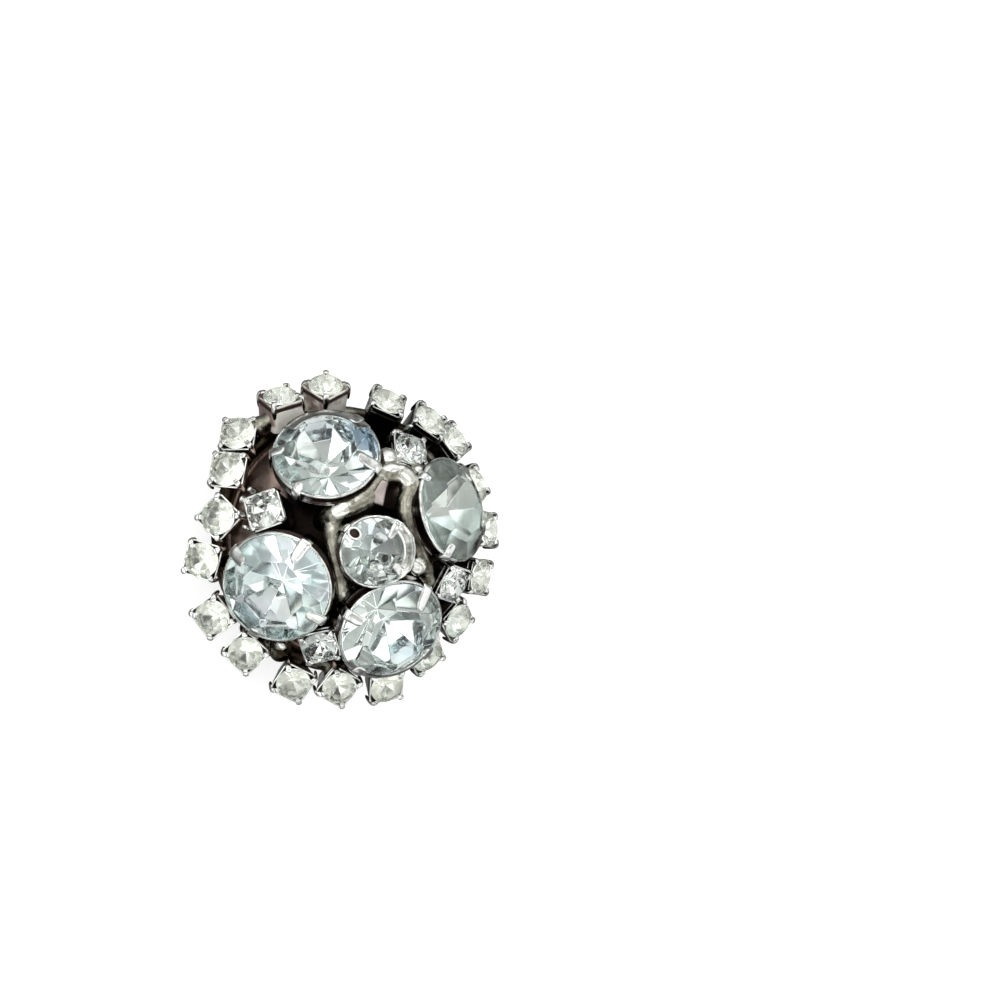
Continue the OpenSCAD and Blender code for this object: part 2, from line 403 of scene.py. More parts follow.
def bent_claw(sheet, stations):
    """A smooth strip of sheet bent in the XZ plane along stations of (x, z, width)."""
    x0, z0, width = stations[0]
    claw = begin(bpy.ops.mesh.primitive_plane_add, "claw", size=1)
    bpy.ops.transform.resize(value=(sheet, width, 1))
    heading = math.pi / 2
    spot = Vector((0, 0, 0))
    last = Vector((x0, 0, z0))
    for x, z, next_width in stations[1:]:
        step = Vector((x, 0, z)) - last
        last = Vector((x, 0, z))
        turn = math.atan2(step.z, step.x) - heading
        bpy.ops.transform.rotate(value=turn / 2, orient_axis="Y", center_override=spot)
        extrude(step)
        spot += step
        heading += turn
        bpy.ops.transform.rotate(value=turn / 2, orient_axis="Y", center_override=spot)
        grow(next_width / width, spot, (0, 1, 0))
        width = next_width
    done()
    claw.data.transform(Matrix.Translation((x0, 0, z0)))
    finish_with(claw, "SUBSURF", "soften", levels=2, render_levels=2)
    shade(claw)
    return claw


def square_cup(name, mouth, depth, foot):
    """A square cup with a groove under its lip and a bead claw bent in at each corner."""
    lip, wall, hollow, narrower = 0.1, 0.16, 0.5 * depth, 0.8
    corner, edge = 0.5, 0.05
    groove, groove_in = (-0.34, -0.4, -0.56, -0.62), 0.92
    cup = begin(bpy.ops.mesh.primitive_cube_add, name, size=1)
    bpy.ops.transform.resize(value=(mouth, mouth, depth - lip))
    bpy.ops.transform.translate(value=(0, 0, -(depth + lip) / 2))
    done()
    at_origin(cup)
    edit()
    # its upright edges
    pick(cup, "edges", lambda e: abs(e.verts[0].co.z - e.verts[1].co.z) > 1)
    bpy.ops.mesh.bevel(offset=corner, segments=4, affect="EDGES")
    pick(cup, "faces", lambda f: f.normal.z < -0.9)
    grow(foot, (0, 0, -depth), (1, 1, 0))
    for level in groove:
        cut(level)
    pick(cup, "verts", lambda v: groove[2] - 1e-3 < v.co.z < groove[1] + 1e-3)
    grow(groove_in, (0, 0, groove[1]), (1, 1, 0))
    pick(cup, "faces", lambda f: f.normal.z > 0.9)
    bpy.ops.mesh.inset(thickness=wall)
    extrude((0, 0, -hollow))
    grow(narrower, (0, 0, -lip - hollow), (1, 1, 0))
    done()
    round_edges(cup, edge, angle=40)
    shade(cup, 40)
    claw = bent_claw(0.32, [
        (0.625 * mouth, -1.3, 0.36),
        (0.635 * mouth, -0.3, 0.46),
        (0.625 * mouth, 0.02, 0.5),
        (0.58 * mouth, 0.24, 0.5),
        (0.49 * mouth, 0.37, 0.46),
        (0.39 * mouth, 0.33, 0.32),
    ])
    corners = [math.radians(a) for a in (45, 135, 225, 315)]
    claws = join([moved_copy(claw, Matrix.Rotation(a, 4, "Z")) for a in corners], "claws")
    # Painted darker low down in the cup, for tarnishing and painted shade
    mark_tone(claws, lambda spot: between(spot.z, -0.9, -0.3))
    discard(claw)
    return cup, claws


def crown_height(radius, r):
    """How high a stone's crown stands at distance r from its axis."""
    return height_on((TABLE_R * radius, CROWN_Z * radius), (radius, GIRDLE_Z * radius), r)


def long_claw(bearing, radius, depth, width, reach):
    """A claw that climbs a round cup's wall and lies over the crown with a round tip."""
    wall, clear_of_crown = radius + 0.3, 0.17
    stations = [(wall, -0.5 * depth, width), (wall + 0.06, -0.3, width),
                (wall + 0.05, 0.12, width), (wall - 0.1, 0.36, width)]
    for way_over, fullness in ((0.25, 1), (0.6, 0.96), (0.88, 0.8), (1, 0.5)):
        r = radius - way_over * reach
        stations.append((r, crown_height(radius, r) + clear_of_crown, fullness * width))
    claw = bent_claw(0.26, stations)
    claw.data.transform(Matrix.Rotation(math.radians(bearing), 4, "Z"))
    # Painted darker low down in the cup, for tarnishing and painted shade
    mark_tone(claw, lambda spot: between(spot.z, -0.5, 0))
    return claw


def folded_claw(bearing, radius):
    """A claw whose end is folded to a loop over the crown, with a black lump inside the loop as
    painted shade.
    """
    loop_r, wire_r, pad_r, pad_drop, lean = 0.52, 0.15, 0.45, 0.06, math.radians(22)
    r = radius - 0.35
    middle = Vector((r, 0, crown_height(radius, r) + 0.2))
    loop = begin(bpy.ops.mesh.primitive_torus_add, "loop", major_segments=32, minor_segments=12,
                 major_radius=loop_r, minor_radius=wire_r, location=middle)
    done()
    at_origin(loop)
    # A black lump inside the loop, painted shade
    shade_pad = blob(middle - Vector((0, 0, pad_drop)), pad_r)
    for part, thickness, tone in ((loop, 1, 1), (shade_pad, 0.25, -1)):
        squash = Matrix.Diagonal((1, 0.8, thickness, 1))
        part.data.transform(Matrix.Translation(middle) @ Matrix.Rotation(lean, 4, "Y") @ squash
                            @ Matrix.Translation(-middle))
        shade(part)
        mark_tone(part, lambda spot: tone)
    claw = join([loop, shade_pad], "folded")
    claw.data.transform(Matrix.Rotation(math.radians(bearing), 4, "Z"))
    return claw


def bezel_arc(radius, arc, reach, tone):
    """A stretch of the lip that is burnished over the far side of the crown, a dark band put
    there as a painted reflection, darker where its tone is low.
    """
    wall, tip, sheet = radius + 0.27, radius - reach, 0.14
    over_tip, over_girdle = crown_height(radius, tip), crown_height(radius, radius)
    profile = [
        (wall, -0.2), (wall, 0.12), (wall - 0.12, 0.28), (tip, over_tip + 0.07 + sheet),
        (tip - 0.04, over_tip + 0.06), (radius + 0.02, over_girdle + 0.1), (radius + 0.08, -0.2),
    ]
    piece = lathe("bezel", profile, 36, arc=arc)
    round_edges(piece, 0.04, angle=35)
    shade(piece, 50)
    mark_tone(piece, lambda spot: tone)
    return piece


# How far down a round cup's wall its second line runs, as a share of its depth
LINE_DOWN = 0.24


def round_cup(name, radius, depth, claws, bezels=(), flare=None, folded=None):
    """A turned cup with a fine lip, a dark wall with a second line below, and claws. Its lip
    may be flared on one side, and one more claw may have a folded end."""
    inner, outer = radius + 0.06, radius + 0.15
    line = -LINE_DOWN * depth
    profile = [
        (0.3, -depth), (0.46 * outer, -depth), (0.5 * outer, -0.96 * depth),
        (0.93 * outer, line - 0.16), (outer + 0.02, line - 0.09), (outer + 0.07, line),
        (outer + 0.02, line + 0.09), (0.95 * outer, line + 0.16), (outer - 0.05, -0.14),
        (outer + 0.04, -0.06), (outer + 0.07, 0.04), (outer + 0.03, 0.15), (outer - 0.04, 0.2),
        (inner, 0.16), (inner - 0.01, 0.02), (inner - 0.05, -0.14 * depth),
        (0.4 * outer, -0.86 * depth), (0.3, -0.92 * depth),
    ]
    cup = lathe(name, profile, 72)
    edit()
    if flare:
        flare_lip(cup, *flare)
    pick(cup, "verts", lambda v: v.co.z > -0.1)
    bpy.ops.transform.vertex_random(offset=0.035 if flare else 0.018, seed=3)
    done()
    shade(cup, 60)
    mark_tone(cup, lambda spot: cup_tone(depth, spot))
    parts = [cup]
    parts += [long_claw(bearing, radius, depth, width, reach) for bearing, width, reach in claws]
    parts += [bezel_arc(radius, arc, reach, tone) for arc, reach, tone in bezels]
    if folded:
        parts.append(folded_claw(folded, radius))
    return join(parts, name)


def flare_lip(cup, bearing, width, out, up, strokes):
    """Bends the lip out and up towards a bearing by strokes that grow narrower."""
    a = math.radians(bearing)
    for stroke in range(strokes):
        window = math.radians(width * (1 - 0.6 * stroke / strokes))
        pick(cup, "verts", lambda v: v.co.z > 0.1 and math.cos(
            math.atan2(v.co.y, v.co.x) - a) > math.cos(window))
        bpy.ops.transform.translate(value=(
            out / strokes * math.cos(a), out / strokes * math.sin(a), up / strokes))


def cup_tone(depth, spot):
    """Polished lip and claws, a black wall for tarnishing and painted shade under the lip, and a
    brighter line part way down it.
    """
    line = -LINE_DOWN * depth
    on_line = 1 - between(abs(spot.z - line), 0.03, 0.1)
    return max(between(spot.z, -0.1, 0.08), 0.8 * on_line)


def blob(spot, radius):
    """A small ball of solder."""
    bpy.ops.object.select_all(action="DESELECT")
    bpy.ops.mesh.primitive_uv_sphere_add(segments=16, ring_count=10, radius=radius, location=spot)
    ball = bpy.context.active_object
    at_origin(ball)
    return ball


def bead_run(points, spacing, jitter):
    """Overlapping beads along a smooth line through points of (x, y, z, radius)."""
    rows = [Vector(p) for p in points]
    rows = [2 * rows[0] - rows[1]] + rows + [2 * rows[-1] - rows[-2]]
    beads = []
    for a, b, c, d in zip(rows, rows[1:], rows[2:], rows[3:]):
        steps = max(1, round((c - b).xyz.length / spacing))
        for step in range(steps):
            t = step / steps
            spot = 0.5 * (2 * b + (c - a) * t + (2 * a - 5 * b + 4 * c - d) * t * t
                          + (3 * b - a - 3 * c + d) * t ** 3)
            beads.append(blob(spot.xyz, spot.w * RANDOM.uniform(1 - jitter, 1 + jitter)))
    beads.append(blob(rows[-2].xyz, rows[-2].w))
    return beads


# Shader parts

def fill(node, values):
    """Gives a node's inputs plain values, or links them to the outputs of other nodes."""
    for key, value in values.items():
        if isinstance(value, bpy.types.NodeSocket):
            node.id_data.links.new(value, node.inputs[key])
        else:
            node.inputs[key].default_value = value


def new_material(name):
    """A material with its nodes and its Principled BSDF."""
    material = bpy.data.materials.new(name)
    material.use_nodes = True
    nodes = material.node_tree.nodes
    return material, nodes, nodes["Principled BSDF"]


def noise(nodes, place, scale, detail=4):
    """Noise over coordinates, its scale in grains per unit, which is a metre on a piece."""
    node = nodes.new("ShaderNodeTexNoise")
    fill(node, {"Vector": place, "Scale": scale, "Detail": detail, "Roughness": 0.55})
    return node.outputs["Fac"]


def spread(nodes, value, low, high, to_low=0.0, to_high=1.0):
    """Maps a value from one range to another, smoothly and within its ends."""
    node = nodes.new("ShaderNodeMapRange")
    node.interpolation_type = "SMOOTHSTEP"
    fill(node, {"Value": value, "From Min": low, "From Max": high,
                "To Min": to_low, "To Max": to_high})
    return node.outputs["Result"]


def blend_colours(nodes, share, a, b):
    """A mix of two colours or colour sockets, all a at a share of 0."""
    node = nodes.new("ShaderNodeMix")
    node.data_type = "RGBA"
    a, b = ((*colour, 1) if isinstance(colour, tuple) else colour for colour in (a, b))
    fill(node, {"Factor": share, 6: a, 7: b})
    return node.outputs[2]


def calculate(nodes, operation, *values):
    """One step of sums with sockets and plain numbers."""
    node = nodes.new("ShaderNodeMath")
    node.operation = operation
    fill(node, dict(enumerate(values)))
    return node.outputs["Value"]


def bump(nodes, height, distance, strength):
    """Relief that follows a value, its distance in metres."""
    node = nodes.new("ShaderNodeBump")
    fill(node, {"Height": height, "Distance": distance, "Strength": strength})
    return node.outputs["Normal"]


def tarnish_and_shade_group():
    """How dark a piece of metal is, from its tone, which holds tarnishing and painted shade, and a
    broken edge between bright and dark. Also its fine rubbing marks and cast surface."""
    group = bpy.data.node_groups.new("tarnish_and_shade", "ShaderNodeTree")
    for name, kind, way in (
        ("Place", "NodeSocketVector", "INPUT"), ("Tone", "NodeSocketFloat", "INPUT"),
        ("Patches", "NodeSocketFloat", "INPUT"), ("Relief", "NodeSocketFloat", "INPUT"),
        ("Dark", "NodeSocketFloat", "OUTPUT"), ("Rub", "NodeSocketFloat", "OUTPUT"),
        ("Normal", "NodeSocketVector", "OUTPUT"),
    ):
        group.interface.new_socket(name, in_out=way, socket_type=kind)
    nodes = group.nodes
    inside, outside = nodes.new("NodeGroupInput"), nodes.new("NodeGroupOutput")
    place = inside.outputs["Place"]
    dull = spread(nodes, noise(nodes, place, 260, 2), 0.36, 0.62, 0.45, 1.5)
    base = calculate(nodes, "SUBTRACT", 1, inside.outputs["Tone"])
    base = calculate(nodes, "MULTIPLY", base, dull)
    coarse = noise(nodes, place, 900)
    spots = spread(nodes, coarse, 0.4, 0.7)
    spots = calculate(nodes, "MULTIPLY", spots, inside.outputs["Patches"])
    dark = calculate(nodes, "ADD", base, spots)
    fill(outside, {"Dark": spread(nodes, dark, 0.05, 0.95),
                   "Rub": noise(nodes, place, 5200, 3),
                   "Normal": bump(nodes, coarse, 0.00012, inside.outputs["Relief"])})
    return group


def metal(name, bright, dark, patches, relief, rough, painted_highlight=None, metallic=1):
    """Plated metal that is dark where its tone is low, for tarnishing and painted shade. One with a
    painted highlight is lighter in spots, and wherever its tone is over 1, in the highlight's
    colour."""
    material, nodes, shader = new_material(name)
    place = nodes.new("ShaderNodeTexCoord").outputs["Object"]
    tone = nodes.new("ShaderNodeAttribute")
    tone.attribute_name = "tone"
    worn_and_shaded = nodes.new("ShaderNodeGroup")
    worn_and_shaded.node_tree = TARNISH_AND_SHADE
    fill(worn_and_shaded, {"Place": place, "Tone": tone.outputs["Fac"], "Patches": patches,
                "Relief": relief})
    if painted_highlight:
        # Painted highlights: the highlight's colour in noise spots and where the tone is over 1
        highlight_spots = noise(nodes, place, 620, 2)
        highlight_spots = calculate(nodes, "MULTIPLY_ADD", tone.outputs["Fac"], 0.4, highlight_spots)
        bright = blend_colours(nodes, spread(nodes, highlight_spots, 0.92, 1.12), bright, painted_highlight)
    fill(shader, {"Base Color": blend_colours(nodes, worn_and_shaded.outputs["Dark"], bright, dark),
                  "Roughness": spread(nodes, worn_and_shaded.outputs["Rub"], 0.3, 0.75, *rough),
                  "Normal": worn_and_shaded.outputs["Normal"], "Metallic": metallic})
    return material


def glass(name, tint, patches=()):
    """Clear cut glass, its faces faintly uneven, with patches of painted reflection where it is
    tinted for camera rays only, each given as (spot, reach, colour)."""
    material, nodes, shader = new_material(name)
    place = nodes.new("ShaderNodeTexCoord").outputs["Object"]
    wave = noise(nodes, place, 500, 2)
    fill(shader, {"Base Color": (*tint, 1), "Normal": bump(nodes, wave, 0.0002, 0.12),
                  "Transmission Weight": 1, "IOR": 1.54, "Roughness": 0})
    for spot, reach, colour in patches:
        away = nodes.new("ShaderNodeVectorMath")
        away.operation = "DISTANCE"
        fill(away, {0: place, 1: spot})
        share = spread(nodes, away.outputs["Value"], 0.35 * reach, reach, 1, 0)
        seen = nodes.new("ShaderNodeLightPath").outputs["Is Camera Ray"]
        share = calculate(nodes, "MULTIPLY", share, seen)
        tint = blend_colours(nodes, share, tint, colour)
        fill(shader, {"Base Color": tint})
    return material


def foil(name, bright, dull, sheens, sheen_share, rough):
    """Silver foil behind the glass, greyer and cloudier in patches and on facets darkened by age and
    by painted shade, with a sheen of two colours in others, painted coloured reflections."""
    material, nodes, shader = new_material(name)
    place = nodes.new("ShaderNodeTexCoord").outputs["Object"]
    worn_and_shaded = nodes.new("ShaderNodeAttribute")
    worn_and_shaded.attribute_name = "tone"
    cloud = spread(nodes, noise(nodes, place, 210, 2), 0.4, 0.62)
    share = calculate(nodes, "MULTIPLY_ADD", worn_and_shaded.outputs["Fac"], -0.8, 0.8)
    share = calculate(nodes, "MULTIPLY_ADD", cloud, 0.3, share)
    silver = blend_colours(nodes, share, bright, dull)
    # Painted coloured reflections in patches of the foil
    tinted = spread(nodes, noise(nodes, place, 230, 1), 0.5, 0.66, 0, sheen_share)
    hue = spread(nodes, noise(nodes, place, 340, 1), 0.42, 0.58)
    sheen = blend_colours(nodes, hue, *sheens)
    fill(shader, {"Base Color": blend_colours(nodes, tinted, silver, sheen),
                  "Roughness": spread(nodes, share, 0, 1, *rough), "Metallic": 1})
    return material


# Darkening of the metal for tarnishing and painted shade
TARNISH_AND_SHADE = tarnish_and_shade_group()
# Black of tarnishing and of the painted shade in the cups
SOOT_AND_SHADE = (0.03, 0.022, 0.018)
SETTING = metal("rhodium_setting", (0.9, 0.905, 0.88), SOOT_AND_SHADE,
                patches=0.5, relief=0.25, rough=(0.12, 0.26))
# The solder's lighter colour is that of its painted highlights
SOLDER = metal("khaki_solder", (0.345, 0.335, 0.275), (0.035, 0.025, 0.016),
               patches=0.3, relief=0.45, rough=(0.2, 0.36), painted_highlight=(0.88, 0.88, 0.82))
# Mauve walls, with cream as the colour of their painted highlight
CREAM = metal("cream_walls", (0.27, 0.195, 0.18), SOOT_AND_SHADE,
              patches=0.2, relief=0.3, rough=(0.42, 0.56), painted_highlight=(0.98, 0.96, 0.87), metallic=0.2)
TAB = metal("pinkish_tab", (0.52, 0.45, 0.43), (0.1, 0.07, 0.06),
            patches=0.3, relief=0.2, rough=(0.34, 0.46))
PLATE = metal("brown_back_plate", (0.57, 0.43, 0.37), (0.007, 0.005, 0.004),
              patches=0.3, relief=0.3, rough=(0.3, 0.46))
CLIP = metal("rubbed_clip", (0.82, 0.8, 0.77), (0.36, 0.31, 0.27),
             patches=0.16, relief=0.04, rough=(0.16, 0.3))
# Painted reflections, tinted for camera rays only: the top stone has a blue and a grey patch
# on its crown, the centre stone a grey one and the lower stone a pale blue one, each this far
# from the middle of its girdle
CROWN_REFLECTIONS = [
    ("main_stone_1", (3.15, 1.4, 0.5), 2.6, (0.37, 0.58, 0.94)),
    ("main_stone_1", (0.05, 1.8, 0.2), 2.1, (0.58, 0.59, 0.59)),
    ("centre_stone", (0.3, 1.2, 0.9), 1.9, (0.5, 0.51, 0.53)),
    ("main_stone_3", (0.2, -0.6, 0.6), 3.4, (0.84, 0.95, 0.985)),
]
COOL_GLASS = glass("ice_glass", (0.966, 0.995, 0.97), [
    (scene_seat(node)[0].translation + Vector(away) * MM, reach * MM, colour)
    for node, away, reach, colour in CROWN_REFLECTIONS])
WARM_GLASS = glass("warm_glass", (0.978, 1, 0.952))
# Colours of the foils' sheens, painted coloured reflections
AQUA, LAVENDER, IVORY = (0.8, 0.95, 0.97), (0.9, 0.9, 1), (0.97, 0.96, 0.86)
COOL_FOIL = foil("cool_foil", (0.95, 0.98, 0.972), (0.4, 0.42, 0.41),
                 sheens=(AQUA, LAVENDER), sheen_share=0.5, rough=(0.03, 0.2))
CLEAR_FOIL = foil("clear_foil", (0.98, 0.985, 0.975), (0.36, 0.37, 0.36),
                  sheens=(AQUA, AQUA), sheen_share=0.25, rough=(0.03, 0.2))
CLOUDY_FOIL = foil("cloudy_foil", (0.925, 0.94, 0.91), (0.5, 0.53, 0.5),
                   sheens=(AQUA, AQUA), sheen_share=0.5, rough=(0.2, 0.4))
WARM_FOIL = foil("warm_foil", (0.99, 0.99, 0.97), (0.94, 0.94, 0.89),
                 sheens=(IVORY, AQUA), sheen_share=0.3, rough=(0.16, 0.32))


# Stones

def set_stone(master, node, wear_and_shade):
    """Seats a copy of a stone in the place of its CAD node."""
    place, _, share = scene_seat(node)
    turned = place @ stone_turn(node, seat_of(node)[0])
    stone = copy_of(master, "cut_" + node, turned @ Matrix.Scale(share, 4))
    wear_and_shade_foil(stone, turned, wear_and_shade)
    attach(stone, "root")
    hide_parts(node)


def stone_turn(node, place):
    """The turn of a stone in its seat, read from a corner of its table."""
    inverse = place.inverted()
    points = [inverse @ v.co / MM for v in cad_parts[node].data.vertices]
    top = max(p.z for p in points)
    corner = max((p for p in points if top - p.z < 1e-3), key=lambda p: p.x)
    return Matrix.Rotation(math.atan2(corner.y, corner.x), 4, "Z")


# How bright the foil is on the eight facets of the stones that show it clearly, from the
# outward side anticlockwise, darkened as painted shade about opposite the dark patches that
# the face shows
FOIL_PAINTED_SHADE = {
    "main_stone_1": [0.6, 1, 1, 1, 0.85, 1, 1, 1],
    "main_stone_2": [0.9, 1, 1, 1, 0.5, 0.8, 0.9, 0.9],
    "main_stone_3": [1, 1, 0.6, 0.4, 1, 1, 1, 0.9],
    "main_stone_4": [1, 1, 0.5, 0.9, 1, 1, 0.6, 1],
    "centre_stone": [1, 1, 0.2, 1, 1, 1, 1, 1],
}


# The small stones are this much fuller than their CAD nodes, so that they fill their cups
FULLER = 1.04
# The other stones' facets have one of these, drawn for each
DRAWN_WEAR = (0.5, 0.9, 1, 1)


def make_stones():
    """The 28 stones, cut once for each size."""
    groups = (
        # nodes, slot, fullness, softness of the edges, glass, foil
        (MAIN_STONES, "big_stone", 1, 0.03, COOL_GLASS, COOL_FOIL),
        (["centre_stone"], "big_stone", 1, 0.022, COOL_GLASS, CLEAR_FOIL),
        (ACCENT_STONES, "small_stone", FULLER, 0.014, COOL_GLASS, CLEAR_FOIL),
        (RIM_STONES, "small_stone", FULLER, 0.014, WARM_GLASS, WARM_FOIL),
    )
    for nodes, slot, fullness, edge, clear, back in groups:
        radius = fullness * seat_of(nodes[0])[1]
        master = cut_stone("stone_master", radius, edge)
        for node in nodes:
            foil_back(master, clear, CLOUDY_FOIL if node == "main_stone_2" else back)
            wear_and_shade = FOIL_PAINTED_SHADE.get(node) or [RANDOM.choice(DRAWN_WEAR) for side in range(SIDES)]
            set_stone(master, node, wear_and_shade)
        discard(master)


# Round cups: each claw's bearing from the outward side, its width and its reach over the
# stone; and each stretch of lip that is burnished over as a painted dark reflection on the
# crown, between two bearings, with its reach and how bright it is painted
ROUND_CUPS = [
    # node, depth, claws, bezels
    ("main_stone_1", 3.6, [(60, 0.8, 0.8), (118, 0.9, 0.4), (220, 1.1, 1.4), (293, 1, 0.8)],
     [((-84, 24), 1, 0.62)]),
    ("main_stone_2", 3.6, [(41, 1.2, 1.2), (129, 0.8, 0.3), (232, 1, 0.7), (325, 1.1, 0.9)],
     [((-78, 40), 0.8, 0.6)]),
    ("main_stone_3", 3.6, [(41, 1.2, 0.5), (131, 1.1, 1.5), (232, 1, 0.9), (311, 1.1, 0.5)],
     [((-70, 36), 0.34, 0.75)]),
    ("main_stone_4", 3.6, [(35, 1, 0.4), (117, 1, 1.1), (208, 1.1, 1.3), (292, 1.1, 1.1)], []),
    ("centre_stone", 3.4, [(53, 0.8, 0.9), (139, 0.7, 1.2), (230, 0.8, 0.1)], [((58, 138), 0.3, 1)]),
]
# The centre cup's lip is flared towards this bearing: width in degrees, out, up, strokes
CENTRE_FLARE = (98, 85, 0.38, 0.62, 6)
# The bearing of its claw with a folded end
CENTRE_FOLD = 230


def give(piece, material):
    """Makes a piece all of one material."""
    piece.data.materials.clear()
    piece.data.materials.append(material)


def add_metal(piece):
    """Counts a finished piece as part of the soldered setting."""
    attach(piece, "root")
    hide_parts("setting_frame")


def set_metal(master, name, material, place=Matrix.Identity(4)):
    """Puts a copy of a finished master in its place in the setting and drops the master."""
    give(master, material)
    add_metal(copy_of(master, name, place))
    discard(master)


def make_round_cups():
    """The cups of the four big stones and of the centre stone."""
    for node, depth, claws, bezels in ROUND_CUPS:
        place, radius, _ = scene_seat(node)
        shape = (CENTRE_FLARE, CENTRE_FOLD) if node == "centre_stone" else ()
        master = round_cup("cup_master", radius, depth, claws, bezels, *shape)
        set_metal(master, node.replace("stone", "cup"), SETTING, place)


# Square cups: width of the mouth, and depth between the stones and in the rim
SQUARE_MOUTH, ACCENT_DEPTH, RIM_DEPTH = 2.95, 3.1, 2.4
# How bright the walls of each are painted on its front and on its left, for tarnishing and
# for painted light and shade, over 1 a painted highlight, and how wide its foot is as a
# share of its mouth, between the stones and then clockwise round the rim
ACCENT_WALLS = [(0.6, 0.4, 0.8), (0.3, 0.3, 0.7), (0.5, 0.5, 0.7), (0.9, 0.8, 0.84)]
RIM_WALLS = [(1.7, 1.5, 0.9), (0.05, 0.05, 0.84), (0.2, 0.2, 0.8), (0.4, 0.4, 0.8)]
RIM_WALLS += [(0.5, 0.4, 0.62)] * 14
RIM_WALLS += [(2, 0.9, 1)]


def wall_tone(front, left, spot, facing):
    """A polished lip over a groove painted black, for tarnishing and painted shade, and below it a
    wall whose painted brightness turns from the front's to the left's, as painted light and shade.
    """
    share = between(-facing.x - abs(facing.y), -0.3, 0.3)
    # Painted light and shade: the front's brightness turning to the left's
    lit_and_clean = front + (left - front) * share
    return max(max(lit_and_clean, 1) * between(spot.z, -0.3, -0.2), lit_and_clean * between(-spot.z, 0.56, 0.66))


# Claws that stand splayed outside a cup, by their bearing from its outward side
SPLAYED = {
    "accent_stone_1": (24, 82),
    "accent_stone_3": (150,),
    "accent_stone_4": (-44, -14, 20, 58),
}
# How far single cups are turned from their neighbours' way, in degrees
TURNED = {"rim_stone_19": -12}
# Cups whose walls are of a duller metal, mauve at a tone of 1 and the cream of a painted
# highlight above it
CREAMY = ("rim_stone_01", "rim_stone_19")


def splayed_claw(bearing):
    """A claw that leans away from a square cup and bends back at its tip."""
    claw = bent_claw(0.3, [
        (1.5, -2, 0.5),
        (1.72, -1, 0.66),
        (1.95, -0.2, 0.7),
        (2.02, 0.3, 0.6),
        (1.88, 0.62, 0.36),
    ])
    claw.data.transform(Matrix.Rotation(math.radians(bearing), 4, "Z"))
    # Painted darker low down, for tarnishing and painted shade
    mark_tone(claw, lambda spot: between(spot.z, -1.2, -0.6))
    return claw


def make_square_cups():
    """The cups of the small stones, each with its own walls."""
    groups = (
        (ACCENT_STONES, ACCENT_WALLS, ACCENT_DEPTH),
        (RIM_STONES, RIM_WALLS, RIM_DEPTH),
    )
    for nodes, walls, depth in groups:
        for node, (front, left, foot) in zip(nodes, walls):
            place = scene_seat(node)[0]
            turn = claw_turn(seat_of(node)[0]) + math.radians(TURNED.get(node, 0))
            turned = place @ Matrix.Rotation(turn, 4, "Z")
            box, claws = square_cup("cup_master", SQUARE_MOUTH, depth, foot)
            facing = turned.to_3x3()
            mark_tone(box, lambda spot: wall_tone(
                front, left, spot, (facing @ Vector((spot.x, spot.y, 0))).normalized()))
            give(box, CREAM if node in CREAMY else SETTING)
            give(claws, SETTING)
            name = node.replace("stone", "cup")
            parts = [copy_of(box, name, turned), copy_of(claws, "claws", turned)]
            for bearing in SPLAYED.get(node, ()):
                claw = splayed_claw(bearing)
                give(claw, SETTING)
                parts.append(copy_of(claw, "claw", place))
                discard(claw)
            add_metal(join(parts, name))
            discard(box, claws)


# Middle lines of the solder bars, each point (x, y, z, radius)
BARS = [
    # left end, under the top stone, up to its claw
    [(-2.9, 1.2, 12, 0.8), (-2.75, 1.5, 14.2, 0.95), (-2.3, 2, 15, 0.92),
     (-1.3, 2.4, 15.2, 0.94), (-0.3, 3, 15.2, 0.96), (0.5, 3.8, 15.1, 0.9),
     (1, 4.6, 14.8, 0.85), (1.4, 5.4, 13.2, 0.8)],
    # over the hollow and down beside the right stone
    [(0.9, 4.6, 14.8, 0.8), (2, 5, 14.6, 0.9), (3, 4.7, 14.6, 0.95), (3.6, 3.8, 14.7, 0.9),
     (3.1, 2.8, 14.8, 0.8), (3.2, 1.3, 14.8, 0.76), (3.9, 0, 14.6, 0.7), (4.4, -1.3, 14.3, 0.7),
     (5, -2.6, 13.6, 0.8), (5, -3.3, 11.6, 0.7)],
    # down between the left stone and the centre cup, into the lower stone's cup
    [(-2.7, 1.3, 14.2, 0.85), (-2.75, -0.4, 14.6, 0.8), (-2.5, -2.2, 14.5, 0.8),
     (-2, -3.9, 14.1, 0.8), (-1.5, -4.9, 13.6, 0.75), (-1.2, -5.6, 12.4, 0.7)],
]
# Lumps of solder where the bars meet the cups, each (x, y, z, radius)
LUMPS = [
    (3.8, 4.4, 14.3, 0.8), (4.3, 5, 13.9, 0.8), (2.2, 5.6, 13.8, 0.85), (5.2, -3.4, 13.4, 0.8),
    (-1.1, -4, 13.6, 0.85), (-6.9, 8.9, 8.1, 0.9), (-6.3, 9.3, 8.3, 0.8), (1.85, 6, 13.8, 1),
    (4, -2.5, 14.3, 0.75), (-5.2, -9.1, 7.7, 0.85), (-6.2, -8.6, 7.8, 0.85), (-7.7, -7.2, 7.8, 0.85),
    (-5.8, -8.3, 8.2, 0.5), (-5.8, -8.4, 9, 0.5), (-5.8, -8.5, 9.8, 0.5), (-5.8, -8.5, 10.4, 0.5),
]
# The tab on the middle bar: middles of its foot and its tip, width, share of the width that
# is left at its tip, thickness and turn
TAB_FOOT, TAB_TIP = Vector((0.36, 2.5, 15.6)), Vector((0.84, 4.3, 16.5))
TAB_WIDTH, TAB_TAPER, TAB_SHEET, TAB_TURN = 1.3, 0.4, 0.55, -14


